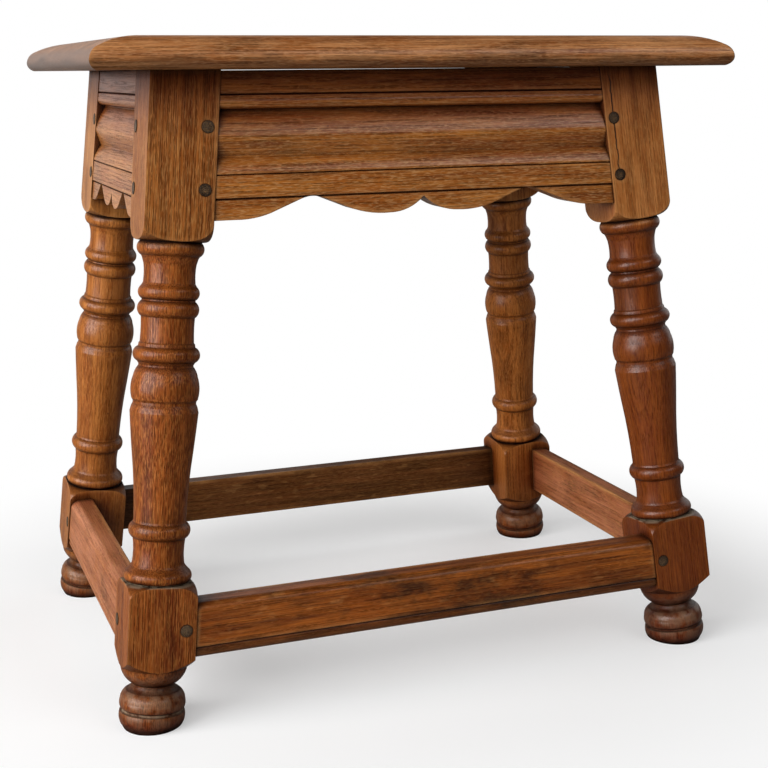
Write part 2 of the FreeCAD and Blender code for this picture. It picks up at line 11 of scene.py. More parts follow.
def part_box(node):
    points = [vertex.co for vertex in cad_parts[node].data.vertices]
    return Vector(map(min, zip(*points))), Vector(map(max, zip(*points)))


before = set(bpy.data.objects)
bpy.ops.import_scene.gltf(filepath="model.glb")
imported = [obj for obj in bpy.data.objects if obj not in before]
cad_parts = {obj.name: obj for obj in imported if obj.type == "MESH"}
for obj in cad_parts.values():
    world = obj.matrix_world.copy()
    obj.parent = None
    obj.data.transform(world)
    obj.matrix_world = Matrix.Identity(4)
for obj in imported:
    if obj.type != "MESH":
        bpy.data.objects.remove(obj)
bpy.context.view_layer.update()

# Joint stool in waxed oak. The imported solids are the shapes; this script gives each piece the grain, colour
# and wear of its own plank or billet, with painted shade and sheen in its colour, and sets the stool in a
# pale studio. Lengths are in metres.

log = logging.getLogger("joint_stool")
Colour = tuple[float, float, float, float]
Value = "Wire | float"  # what a Math node takes

# How far off a surface looks for what covers it: grooves and joints, which take grime and painted shade, wide
# hollows, which take painted shade, and edges from inside.
GROOVE_REACH = 0.007
HOLLOW_REACH = 0.055
EDGE_REACH = 0.004
WORN_ARRIS = 0.0017  # the radius that wear has given to the arrises
OIL_IOR = 1.48
WOOD_SPECULAR = 0.06  # next to none, since nearly all the gloss is the wax's
WAX_ROUGHNESS = 0.30
SLOW_ALONG = 0.12  # how fast the tree's slow changes run along the fibres, compared to across them
RING_WANDER = 0.007  # how far a growth ring strays from its circle


def srgb(code: int) -> Colour:
    """Turns a colour written as 0xRRGGBB into the linear colour that a shader takes.

    Args:
        code: The colour as it looks on a screen.

    Returns:
        Red, green, blue and an opaque alpha.
    """
    channels = [(code >> shift & 255) / 255 for shift in (16, 8, 0)]
    linear = [c / 12.92 if c <= 0.04045 else ((c + 0.055) / 1.055) ** 2.4 for c in channels]
    return (*linear, 1.0)


class Wire:
    """An output socket that takes part in arithmetic."""

    def __init__(self, graph: "Graph", socket: bpy.types.NodeSocket) -> None:
        """Keeps the socket and the graph it belongs to."""
        self.graph = graph
        self.socket = socket

    def __add__(self, other: Value) -> "Wire":
        """Sum."""
        return self.graph.math("ADD", self, other)

    def __sub__(self, other: Value) -> "Wire":
        """Difference."""
        return self.graph.math("SUBTRACT", self, other)

    def __rsub__(self, other: float) -> "Wire":
        """Difference from a number."""
        return self.graph.math("SUBTRACT", other, self)

    def __mul__(self, other: Value) -> "Wire":
        """Product."""
        return self.graph.math("MULTIPLY", self, other)

    def __truediv__(self, other: Value) -> "Wire":
        """Quotient."""
        return self.graph.math("DIVIDE", self, other)

    __radd__ = __add__
    __rmul__ = __mul__

    def ramp(self, low: float, high: float) -> "Wire":
        """Smooth step from 0 at one value to 1 at another.

        Args:
            low: The value that gives 0.
            high: The value that gives 1; it may be the smaller one.

        Returns:
            A value from 0 to 1.
        """
        settings = {"interpolation_type": "SMOOTHSTEP"}
        inputs = {"Value": self, "From Min": low, "From Max": high, "To Min": 0.0, "To Max": 1.0}
        return self.graph.add("ShaderNodeMapRange", settings, inputs)

    def band(self, middle: float, half_width: float, fade: float) -> "Wire":
        """A mask that is 1 near a value and fades to 0 on both sides of it.

        Args:
            middle: The value at the middle of the band.
            half_width: How far the full strength reaches.
            fade: How much further it takes to reach 0.

        Returns:
            A value from 0 to 1.
        """
        distance = self.graph.math("ABSOLUTE", self - middle)
        return distance.ramp(half_width + fade, half_width)


class Graph:
    """The node tree of one material or of the world."""

    def __init__(self, tree: bpy.types.NodeTree) -> None:
        """Clears the tree and keeps it."""
        self.tree = tree
        tree.nodes.clear()

    def add(self, kind: str, settings: dict, inputs: dict, output: int | str = 0) -> Wire:
        """Adds a node.

        Args:
            kind: The node's type.
            settings: Its settings, set first.
            inputs: Values or wires for its sockets, by name or number.
            output: The output that is returned, by name or number.

        Returns:
            The wire of that output.
        """
        node = self.tree.nodes.new(kind)
        for name, value in settings.items():
            setattr(node, name, value)
        for key, value in inputs.items():
            if isinstance(value, Wire):
                self.tree.links.new(value.socket, node.inputs[key])
            else:
                node.inputs[key].default_value = value
        return Wire(self, node.outputs[output])

    def close(self, kind: str, surface: Wire) -> None:
        """Adds the output node of the given type and ends the graph there."""
        node = self.tree.nodes.new(kind)
        self.tree.links.new(surface.socket, node.inputs["Surface"])

    def math(self, operation: str, *values: Value) -> Wire:
        """Adds a Math node on one or two values."""
        return self.add("ShaderNodeMath", {"operation": operation}, dict(enumerate(values)))

    def vector(self, operation: str, *values: "Wire | tuple", output: str = "Vector") -> Wire:
        """Adds a Vector Math node on vectors."""
        return self.add("ShaderNodeVectorMath", {"operation": operation}, dict(enumerate(values)), output)

    def scaled(self, vector: Wire, factors: tuple[float, float, float]) -> Wire:
        """Multiplies a vector by three factors."""
        return self.vector("MULTIPLY", vector, factors)

    def mix(self, factor: Value, first: "Wire | Colour", second: "Wire | Colour", blend: str = "MIX") -> Wire:
        """Mixes two colours.

        Args:
            factor: How much of the second colour shows.
            first: The colour at factor 0.
            second: The colour at factor 1.
            blend: How the second colour is laid over the first.

        Returns:
            The mixed colour.
        """
        settings = {"data_type": "RGBA", "blend_type": blend, "clamp_factor": True}
        return self.add("ShaderNodeMix", settings, {0: factor, 6: first, 7: second}, 2)

    def noise(self, place: Wire, scale: float, detail: float, roughness: float = 0.5) -> Wire:
        """Adds a noise texture of about 0.5 on average."""
        inputs = {"Vector": place, "Scale": scale, "Detail": detail, "Roughness": roughness}
        return self.add("ShaderNodeTexNoise", {}, inputs)

    def openness(self, distance: float, inside: bool = False) -> Wire:
        """How open the surface is up to a distance: below 1 in a hollow, or at an edge seen from inside."""
        settings = {"samples": 4, "inside": inside}
        return self.add("ShaderNodeAmbientOcclusion", settings, {"Distance": distance}, "AO")

    def parts(self, vector: Wire) -> tuple[Wire, Wire, Wire]:
        """Splits a vector.

        Args:
            vector: The vector.

        Returns:
            Its three numbers.
        """
        split = self.add("ShaderNodeSeparateXYZ", {}, {0: vector})
        outputs = split.socket.node.outputs
        return Wire(self, outputs[0]), Wire(self, outputs[1]), Wire(self, outputs[2])


@dataclass(frozen=True)
class Texture:
    """A noise that is drawn out along the fibres and cut to a mask.

    The scale counts its spots per metre across the fibres, and along says how fast it changes along them
    compared to that. The mask is 0 where the noise is low, and 1 where it is high.
    """

    scale: float
    along: float
    detail: float
    low: float
    high: float
    roughness: float = 0.5

    def draw(self, graph: Graph, place: Wire) -> Wire:
        """Draws the mask at a place in the wood's own axes."""
        drawn_out = graph.scaled(place, (1, 1, self.along))
        return graph.noise(drawn_out, self.scale, self.detail, self.roughness).ramp(self.low, self.high)


class Heart(enum.Enum):
    """Where the heart of the tree lay from the middle of a piece, in the wood's own first two axes."""

    BESIDE = (0.150, 0.012)
    CORNER = (0.095, 0.085)
    BEHIND = (0.014, 0.110)


@dataclass(frozen=True)
class Grain:
    """The run of the wood in one piece.

    The wood's own axes have their origin on the piece's middle line, and their third axis along the fibres.
    """

    origin: Vector
    along: Vector
    heart: Heart
    seed: float

    def cut_across(self, graph: Graph) -> Wire:
        """Finds end grain.

        Args:
            graph: The material's graph.

        Returns:
            How squarely the surface cuts the fibres: 0 along them, 1 on end grain.
        """
        facing = graph.add("ShaderNodeTexCoord", {}, {}, "Normal")
        squarely = graph.vector("DOT_PRODUCT", facing, tuple(self.along.normalized()), output="Value")
        return graph.math("ABSOLUTE", squarely)

    def place(self, graph: Graph) -> Wire:
        """Finds a point of the surface in the wood's own axes.

        Args:
            graph: The material's graph.

        Returns:
            The point, in metres.
        """
        turn = self.along.normalized().rotation_difference(Vector((0, 0, 1)))
        inputs = {
            "Vector": graph.add("ShaderNodeTexCoord", {}, {}, "Object"),
            "Location": -(turn @ self.origin),
            "Rotation": turn.to_euler(),
        }
        return graph.add("ShaderNodeMapping", {"vector_type": "POINT"}, inputs)

    def shifted(self, graph: Graph, place: Wire, steps: tuple[float, float, float]) -> Wire:
        """Moves a place by the seed, so that no two pieces show the same stretch of a noise."""
        return graph.vector("ADD", place, tuple(self.seed * step for step in steps))


@dataclass(frozen=True)
class Crack:
    """A drying split along the fibres: its place across the piece, the stretch it covers, and its face."""

    across: float
    low: float
    high: float
    front: float
    half_width: float = 0.0001
    ragged: float = 0.0006
    wobble: float = 0.004
    depth: float = 0.010
    depth_fade: float = 0.002

    def draw(self, graph: Graph, place: Wire) -> Wire:
        """Draws the split.

        Args:
            graph: The material's graph.
            place: A point in the wood's own axes.

        Returns:
            A mask of it.
        """
        across, depth, height = graph.parts(place)
        stray = (graph.noise(graph.scaled(place, (0, 0, 1)), 130.0, 3.0) - 0.5) * self.wobble
        reach = (self.high - self.low) / 2
        run = height.band((self.low + self.high) / 2, reach * 0.7, reach * 0.3)
        line = (across + stray).band(self.across, self.half_width, self.ragged)
        bottom = self.front + self.depth
        return line * run * depth.ramp(bottom + self.depth_fade, bottom)


@dataclass(frozen=True)
class Turning:
    """What the lathe and the years did to a leg below its upper block.

    The tint is laid over the sawn wood's colour up to the height named top, since turned wood takes more
    stain. Dirt and dust from the floor lie between two heights each, where they begin and where they are
    thickest, and pale dust fills the grooves at the heights of the dusty rings. Heights run from the sole
    along the leg.
    """

    tint: int
    dirt: float = 0.11
    dusty_rings: tuple[float, ...] = ()
    top: float = 0.341
    top_fade: float = 0.002
    thick_dirt: float = 0.045
    dust: float = 0.046
    thick_dust: float = 0.030
    groove: float = 0.0004
    groove_fade: float = 0.0008


@dataclass(frozen=True)
class Wear:
    """How strongly age and use, and the painted shade and sheen among them, show on every piece of the stool,
    from 0 to 1.
    """

    amber_patches: float = 0.55
    # Painted shade in the wide hollows, such as under the seat's overhang.
    hollow_shade: float = 0.90
    # Grime and painted shade in the grooves and joints.
    groove_grime_and_shade: float = 0.92
    foot_grime: float = 0.16
    foot_dust: float = 0.30
    groove_dust: float = 0.50
    # Painted shade under the seat's lower edge, and grime with painted shade along the front stretcher's
    # bottom.
    lower_edge_shade_and_grime: float = 0.48
    # How far the flecks of painted sheen fade in the painted shade of the hollows.
    flecks_faded_in_shade: float = 0.8
    unwaxed_pores: float = 0.6
    dull_grooves: float = 0.25
    dull_patches: float = 0.16
    polished_edges: float = 0.05


@dataclass(frozen=True)
class LowerEdgeShadeAndGrime:
    """The darkened lower part of a board or stretcher, its height above the floor and how raggedly it ends:
    painted shade on the seat, grime and painted shade on the front stretcher.
    """

    height: float
    ragged: float = 0.02
    fade_above: float = 0.004
    fade_below: float = 0.002


@dataclass(frozen=True)
class Relief:
    """How far the marks in the surface stand out or go in, in metres."""

    plane_marks: float = 0.00018
    fibre: float = 0.00006
    sheen_flecks: float = 0.00003
    pores: float = 0.00014
    ring: float = 0.00003
    holes: float = 0.0006
    splits: float = 0.0008


WEAR = Wear()
RELIEF = Relief()


@dataclass(frozen=True)
class Figure:
    """Masks of the wood's own figure, whose pale flecks are partly painted sheen."""

    ring: Wire
    pores: Wire
    ray: Wire
    tone: Wire
    stain: Wire
    fibre: Wire
    sheen_flecks: Wire


@dataclass(frozen=True)
class Surface:
    """One piece's surface while its material is made: its graph, its place in the wood, and its masks.

    Patches is a slow noise, rubbed the worn edges, grooves are where grime and painted shade gather, and
    hollows are where painted shade falls.
    """

    graph: Graph
    place: Wire
    figure: Figure
    patches: Wire
    rubbed: Wire
    grooves: Wire
    hollows: Wire
    holes: Wire
    splits: Value


@dataclass(frozen=True)
class OakFinish:
    """Old oak under wax: its colours, painted shade and sheen among them, and how strongly each of its
    features shows.
    """

    light: int = 0xB07242
    brown: int = 0x743A0C
    # The amber tints the wood's amber patches and also paints shade into the wide hollows.
    amber_and_shade: int = 0x8E4A0E
    pore: int = 0x2A1002
    # This dark colour is grime on the feet and in holes and splits, grime and painted shade in grooves and
    # joints, and painted shade under the seat's lower edge.
    grime_and_shade: int = 0x120804
    worn: int = 0xC48C54
    # The pale fleck colour is partly the wood's own specks and partly painted sheen.
    fleck_and_sheen: int = 0xC08A4E
    dust: int = 0xA08C74
    # End grain's colour; on the seat board it is greyed into a painted reflection.
    end_grain_and_sheen: int = 0x54300E
    end_grain_and_sheen_strength: float = 0.55
    ring_width: float = 0.0018
    ring_depth: float = 0.15
    ring_pores: float = 0.5
    pore_depth: float = 0.85
    pore_along: float = 0.22
    ray_strength: float = 0.20
    stain: float = 0.35
    wear: float = 0.55
    sheen: float = 0.40
    streaks: float = 0.25
    fleck_and_sheen_strength: float = 0.30
    fleck_along: float = 0.12
    wax: float = 0.34
    worm_holes: float = 0.5

    def material(
        self,
        name: str,
        grain: Grain,
        turning: Turning | None = None,
        cracks: tuple[Crack, ...] = (),
        shade_and_grime_below: LowerEdgeShadeAndGrime | None = None,
    ) -> bpy.types.Material:
        """Makes the material of one piece.

        Args:
            name: The material's name.
            grain: How the wood runs in the piece.
            turning: How the turned part differs from the sawn wood above it.
            cracks: Splits in the piece.
            shade_and_grime_below: The piece's lower edge, below which painted shade, with grime on the
                stretcher, darkens it.

        Returns:
            The material.
        """
        material = bpy.data.materials.new(name)
        material.use_nodes = True
        graph = Graph(material.node_tree)
        surface = self.surface(graph, grain, cracks)
        grooves, hollows, pores = surface.grooves, surface.hollows, surface.figure.pores

        colour = self.wood(surface, grain)
        if turning is not None:
            colour = self.turned(surface, turning, colour)
        if shade_and_grime_below is not None:
            # Painted shade on the seat's lower edge and underside; grime and painted shade along the front
            # stretcher's bottom.
            colour = self.shade_and_grime_lower_edge(surface, shade_and_grime_below, colour)
        # Painted shade: the amber multiplies the wide hollows darker, such as the parts under the seat's
        # overhang.
        colour = graph.mix(hollows * WEAR.hollow_shade, colour, srgb(self.amber_and_shade), "MULTIPLY")
        # Grime and painted shade darken the grooves and joints.
        colour = graph.mix(grooves * WEAR.groove_grime_and_shade, colour, srgb(self.grime_and_shade))
        if turning is not None:
            colour = self.dusted(surface, turning, colour)
        colour = graph.mix(graph.math("MAXIMUM", surface.holes, surface.splits), colour, srgb(self.grime_and_shade))

        roughness = self.sheen + grooves * WEAR.dull_grooves - surface.rubbed * WEAR.polished_edges
        roughness = roughness + (surface.patches - 0.5) * WEAR.dull_patches
        rounded = graph.add("ShaderNodeBevel", {"samples": 4}, {"Radius": WORN_ARRIS})
        bumps = {"Strength": 1.0, "Distance": 1.0, "Height": self.relief(surface), "Normal": rounded}
        inputs = {
            "Base Color": colour,
            "Roughness": roughness,
            "Normal": graph.add("ShaderNodeBump", {}, bumps),
            "IOR": OIL_IOR,
            "Specular IOR Level": WOOD_SPECULAR,
            "Coat Weight": (1.0 - pores * WEAR.unwaxed_pores) * (1.0 - grooves) * self.wax,
            "Coat Roughness": WAX_ROUGHNESS,
        }
        graph.close("ShaderNodeOutputMaterial", graph.add("ShaderNodeBsdfPrincipled", {}, inputs))
        return material

    def surface(self, graph: Graph, grain: Grain, cracks: tuple[Crack, ...]) -> Surface:
        """Works out the masks that the layers of a material share.

        Args:
            graph: The material's graph.
            grain: How the wood runs in the piece.
            cracks: Splits in the piece.

        Returns:
            The surface.
        """
        place = grain.place(graph)
        patches = graph.noise(grain.shifted(graph, place, (1.0, 0.0, 0.0)), 22.0, 4.0, 0.6)
        edges = graph.openness(EDGE_REACH, inside=True).ramp(0.92, 0.55)
        splits: Value = 0.0
        for crack in cracks:
            splits = graph.math("MAXIMUM", splits, crack.draw(graph, place))
        return Surface(
            graph=graph,
            place=place,
            figure=self.figure(graph, place, grain),
            patches=patches,
            rubbed=edges * patches.ramp(0.30, 0.62),
            grooves=graph.openness(GROOVE_REACH).ramp(0.94, 0.50),
            hollows=graph.openness(HOLLOW_REACH).ramp(0.95, 0.52),
            holes=self.holes(graph, place, grain),
            splits=splits,
        )

    def figure(self, graph: Graph, place: Wire, grain: Grain) -> Figure:
        """Works out the wood's figure: growth rings, open pores, rays, slow changes of tone, and pale flecks
        that are partly painted sheen.

        Args:
            graph: The material's graph.
            place: A point in the wood's own axes.
            grain: How the wood runs in the piece.

        Returns:
            Its masks.
        """
        seeded = grain.shifted(graph, place, (1.7, 0.9, 2.3))
        slow = graph.scaled(seeded, (1, 1, SLOW_ALONG))
        wander = graph.add("ShaderNodeTexNoise", {}, {"Vector": slow, "Scale": 14.0, "Detail": 1.0}, "Color")
        centred = graph.vector("SUBTRACT", wander, (0.5, 0.5, 0.5))
        bent = graph.vector("ADD", place, graph.scaled(centred, (RING_WANDER, RING_WANDER, 0.0)))
        from_heart = graph.scaled(graph.vector("ADD", bent, (*grain.heart.value, 0)), (1, 1, 0))
        radius = graph.vector("LENGTH", from_heart, output="Value")
        uneven = graph.noise(slow, 160.0, 0.0)
        year = graph.math("FRACT", radius / self.ring_width + uneven)
        ring = year.ramp(0.0, 0.10) * year.ramp(0.80, 0.20)

        lines = Texture(scale=1450.0, along=0.02, detail=0.5, low=0.42, high=0.58)
        breaks = Texture(scale=1350.0, along=self.pore_along, detail=1.0, low=0.34, high=0.52)
        gathered = 1.0 - (1.0 - ring) * self.ring_pores
        sheets = Texture(scale=240.0, along=0.35, detail=1.0, low=0.60, high=0.72)
        clouds = Texture(scale=110.0, along=0.06, detail=3.0, low=0.34, high=0.66, roughness=0.65)
        streaks = Texture(scale=1100.0, along=0.03, detail=0.3, low=0.42, high=0.60)
        stain = Texture(scale=26.0, along=0.45, detail=5.0, low=0.50, high=0.68, roughness=0.7)
        # Pale flecks, partly the wood's own specks and partly painted sheen.
        sheen_flecks = Texture(scale=1500.0, along=self.fleck_along, detail=1.5, low=0.48, high=0.62, roughness=0.6)
        clouded = clouds.draw(graph, bent) * (1.0 - self.streaks)
        return Figure(
            ring=ring,
            pores=lines.draw(graph, seeded) * breaks.draw(graph, seeded) * gathered,
            ray=sheets.draw(graph, bent) * graph.noise(slow, 60.0, 1.0).ramp(0.45, 0.6),
            tone=clouded + streaks.draw(graph, seeded) * self.streaks,
            stain=stain.draw(graph, seeded),
            fibre=graph.noise(graph.scaled(seeded, (1, 1, 0.02)), 1500.0, 2.0),
            sheen_flecks=sheen_flecks.draw(graph, seeded),
        )

    def holes(self, graph: Graph, place: Wire, grain: Grain) -> Wire:
        """Scatters a few beetle holes of a millimetre and a half, grouped where the wood was sappy.

        Args:
            graph: The material's graph.
            place: A point in the wood's own axes.
            grain: How the wood runs in the piece.

        Returns:
            A mask of the holes.
        """
        seeded = grain.shifted(graph, place, (3.1, 1.0, 0.0))
        inputs = {"Vector": seeded, "Scale": 70.0, "Randomness": 1.0}
        spacing = graph.add("ShaderNodeTexVoronoi", {"feature": "F1"}, inputs, "Distance")
        groups = graph.noise(seeded, 14.0, 1.0).ramp(0.60, 0.64)
        return spacing.ramp(0.065, 0.045) * groups * self.worm_holes

    def wood(self, surface: Surface, grain: Grain) -> Wire:
        """Lays the wood's own colours, its worn edges, and painted sheen in its flecks and on the seat's end
        grain over each other.

        Args:
            surface: The piece's surface.
            grain: How the wood runs in the piece.

        Returns:
            The colour of clean wood.
        """
        graph, figure = surface.graph, surface.figure
        colour = graph.mix(figure.tone, srgb(self.light), srgb(self.brown))
        layers = (
            (surface.patches.ramp(0.42, 0.70) * WEAR.amber_patches, self.amber_and_shade),
            (figure.stain * self.stain, self.pore),
            (figure.ring * self.ring_depth, self.pore),
            (figure.ray * self.ray_strength, self.worn),
            # Pale flecks, partly painted sheen, which fade in the painted shade of the hollows.
            (figure.sheen_flecks * (1.0 - surface.hollows * WEAR.flecks_faded_in_shade) * self.fleck_and_sheen_strength, self.fleck_and_sheen),
            (figure.pores * self.pore_depth, self.pore),
            (surface.rubbed * self.wear, self.worn),
            # End grain; on the seat board its grey colour is partly a painted reflection.
            (grain.cut_across(graph).ramp(0.25, 0.90) * self.end_grain_and_sheen_strength, self.end_grain_and_sheen),
        )
        for strength, code in layers:
            colour = graph.mix(strength, colour, srgb(code))
        return colour

    def turned(self, surface: Surface, turning: Turning, colour: Wire) -> Wire:
        """Stains the turned part of a leg and dirties its foot.

        Args:
            surface: The leg's surface.
            turning: What the lathe and the years did to the leg.
            colour: The colour of its clean wood.

        Returns:
            The leg's colour.
        """
        graph = surface.graph
        height = graph.parts(surface.place)[2]
        below_block = height.ramp(turning.top + turning.top_fade, turning.top - turning.top_fade)
        dirt = height.ramp(turning.dirt, turning.thick_dirt) * WEAR.foot_grime
        dust = height.ramp(turning.dust, turning.thick_dust) * self.settled(surface) * WEAR.foot_dust
        colour = graph.mix(below_block, colour, srgb(turning.tint), "MULTIPLY")
        colour = graph.mix(dirt, colour, srgb(self.grime_and_shade))
        return graph.mix(dust, colour, srgb(self.dust))

    def dusted(self, surface: Surface, turning: Turning, colour: Wire) -> Wire:
        """Lays pale dust in the grooves of a leg.

        Args:
            surface: The leg's surface.
            turning: The heights of the dusty grooves, and their width.
            colour: The leg's colour so far.

        Returns:
            The leg's colour.
        """
        graph = surface.graph
        height = graph.parts(surface.place)[2]
        for middle in turning.dusty_rings:
            groove = height.band(middle, turning.groove, turning.groove_fade)
            colour = graph.mix(groove * self.settled(surface) * WEAR.groove_dust, colour, srgb(self.dust))
        return colour

    def settled(self, surface: Surface) -> Wire:
        """A mask of where dust has stayed."""
        return surface.graph.noise(surface.place, 160.0, 2.0).ramp(0.30, 0.60)

    def shade_and_grime_lower_edge(self, surface: Surface, edge: LowerEdgeShadeAndGrime, colour: Wire) -> Wire:
        """Darkens a board or stretcher below its lower edge: painted shade on the seat, grime and painted
        shade on the front stretcher.

        Args:
            surface: The piece's surface.
            edge: That edge.
            colour: The colour of its clean wood.

        Returns:
            The piece's colour.
        """
        graph = surface.graph
        level = graph.parts(graph.add("ShaderNodeTexCoord", {}, {}, "Object"))[2]
        ragged = level + (surface.patches - 0.5) * edge.ragged
        below = ragged.ramp(edge.height + edge.fade_above, edge.height - edge.fade_below)
        return graph.mix(below * WEAR.lower_edge_shade_and_grime, colour, srgb(self.grime_and_shade))

    def relief(self, surface: Surface) -> Wire:
        """Adds up the marks of the plane, the wood's texture, the holes and the splits.

        Args:
            surface: The piece's surface.

        Returns:
            How far the surface stands out, in metres.
        """
        graph, figure = surface.graph, surface.figure
        return (
            graph.noise(graph.scaled(surface.place, (1, 1, 0.5)), 60.0, 1.0) * RELIEF.plane_marks
            + figure.fibre * RELIEF.fibre
            + figure.sheen_flecks * RELIEF.sheen_flecks
            - figure.pores * RELIEF.pores
            - figure.ring * RELIEF.ring
            - surface.holes * RELIEF.holes
            - surface.splits * RELIEF.splits
        )


LEG_OAK = OakFinish(
    light=0xA4622A, brown=0x683004, ring_width=0.0014, ring_depth=0.06, ring_pores=0.30, pore_depth=0.60,
    pore_along=0.15, stain=0.25, streaks=0.30, fleck_and_sheen_strength=0.42, fleck_along=0.08, wax=0.38,
)
GOLDEN_OAK = OakFinish(
    light=0xB87A3A, brown=0x7C420E, amber_and_shade=0x8A4A10, ring_width=0.0030, ring_depth=0.08, pore_depth=0.36,
    pore_along=0.12, streaks=0.30, wax=0.50,
)
RED_OAK = OakFinish(
    light=0xC07C42, brown=0x8A4C1E, amber_and_shade=0x965216, ring_width=0.0021, ring_depth=0.10, pore_depth=0.32,
    pore_along=0.12, sheen=0.38, streaks=0.30, wax=0.60,
)
BROWN_OAK = OakFinish(
    light=0xBE7C40, brown=0x8C4E1A, amber_and_shade=0x965212, ring_width=0.0024, ring_depth=0.12, pore_depth=0.50,
)
# The rails' strong pale flecks are partly painted sheen.
RAIL_OAK = OakFinish(
    light=0xB8722A, brown=0x7C3C04, amber_and_shade=0x964A02, fleck_and_sheen=0xCC9E6A, ring_width=0.0024, ring_depth=0.08,
    pore_depth=0.55, pore_along=0.20, ray_strength=0.35, stain=0.30, sheen=0.34, fleck_and_sheen_strength=0.40,
    wax=0.85,
)
# The seat board's grey end grain is partly a painted reflection on its ends.
BOARD_OAK = OakFinish(
    light=0xD0905A, brown=0x7E4418, fleck_and_sheen=0xD4A070, end_grain_and_sheen=0x705A4E, end_grain_and_sheen_strength=0.85,
    ring_width=0.0021, ring_depth=0.12, pore_depth=0.48, pore_along=0.18, stain=0.50, wear=0.60, sheen=0.34,
    wax=0.60,
)
STRETCHER_OAK = OakFinish(
    light=0xA4581A, brown=0x582606, amber_and_shade=0x843C04, ring_width=0.0040, ring_depth=0.08, pore_depth=0.50,
    pore_along=0.18, stain=0.85, wear=0.95, sheen=0.36, fleck_and_sheen_strength=0.10, wax=0.55,
)
PALE_STRETCHER_OAK = OakFinish(
    light=0xB87350, brown=0x86482A, amber_and_shade=0x945028, ring_width=0.0040, ring_depth=0.06, pore_depth=0.40,
    pore_along=0.18, stain=0.50, wear=0.75,
)
DARK_STRETCHER_OAK = OakFinish(
    light=0x744420, brown=0x4C2C0E, amber_and_shade=0x5E320C, ring_width=0.0040, ring_depth=0.08, pore_depth=0.50,
    pore_along=0.18, stain=0.60, wear=0.60, fleck_and_sheen_strength=0.12,
)
PEG_OAK = OakFinish(
    light=0x5E5040, brown=0x463A2E, amber_and_shade=0x463624, worn=0x140D09, end_grain_and_sheen_strength=0.0, ring_width=0.0012,
    wear=1.0, sheen=0.5, worm_holes=0.0,
)


@dataclass
class Piece:
    """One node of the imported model, and the wood it is made of."""

    node: str

    def middle(self) -> Vector:
        """The middle of the piece's box."""
        low, high = (Vector(corner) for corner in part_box(self.node))
        return (low + high) / 2

    def put_on(self, material: bpy.types.Material) -> None:
        """Puts a material on the node.

        Args:
            material: The material.
        """
        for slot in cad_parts[self.node].material_slots:
            slot.material = material
        log.info("%s dressed in %s", self.node, material.name)


@dataclass
class Leg(Piece):
    """A splayed leg, turned from one billet.

    The reaches say how far its axis is from the stool's middle under the seat and on the floor.
    """

    side_x: int
    side_y: int
    finish: OakFinish
    heart: Heart
    seed: float
    turning: Turning
    cracks: tuple[Crack, ...] = ()
    seat_height: float = 0.458
    seat_reach: tuple[float, float] = (0.1698, 0.0999)
    foot_reach: tuple[float, float] = (0.2176, 0.1444)

    def on_axis(self, reach: tuple[float, float], height: float) -> Vector:
        """The point of the leg's axis at a height, a reach away from the stool's middle."""
        return Vector((self.side_x * reach[0], self.side_y * reach[1], height))

    def dress(self) -> None:
        """Gives the leg wood whose fibres lean with it."""
        foot = self.on_axis(self.foot_reach, 0.0)
        top = self.on_axis(self.seat_reach, self.seat_height)
        grain = Grain(foot, top - foot, self.heart, self.seed)
        self.put_on(self.finish.material(f"{self.node}_oak", grain, self.turning, self.cracks))


@dataclass
class Board(Piece):
    """A straight piece sawn from a plank: the seat board, a rail or a stretcher."""

    along: Vector
    finish: OakFinish
    heart: Heart
    seed: float
    shade_and_grime_below: LowerEdgeShadeAndGrime | None = None

    def dress(self) -> None:
        """Gives the piece wood whose fibres run along it."""
        grain = Grain(self.middle(), self.along, self.heart, self.seed)
        self.put_on(self.finish.material(f"{self.node}_oak", grain, shade_and_grime_below=self.shade_and_grime_below))


@dataclass
class Pegs(Piece):
    """A group of riven pegs that lie along one direction."""

    along: Vector
    seed: float

    def dress(self) -> None:
        """Gives the pegs darkened wood whose fibres run along them."""
        grain = Grain(self.middle(), self.along, Heart.CORNER, self.seed)
        self.put_on(PEG_OAK.material(f"{self.node}_oak", grain))


@dataclass(frozen=True)
class Lamp:
    """A soft rectangular light that faces the stool."""

    name: str
    place: tuple[float, float, float]
    width: float
    height: float
    watts: float
    target: tuple[float, float, float] = (0.0, 0.0, 0.25)

    def hang(self) -> None:
        """Hangs the lamp."""
        data = bpy.data.lights.new(self.name, "AREA")
        data.shape = "RECTANGLE"
        data.size = self.width
        data.size_y = self.height
        data.energy = self.watts
        lamp = bpy.data.objects.new(self.name, data)
        lamp.visible_camera = False
        lamp.location = self.place
        aim = Vector(self.target) - Vector(self.place)
        lamp.rotation_euler = aim.to_track_quat("-Z", "Y").to_euler()
        bpy.context.collection.objects.link(lamp)


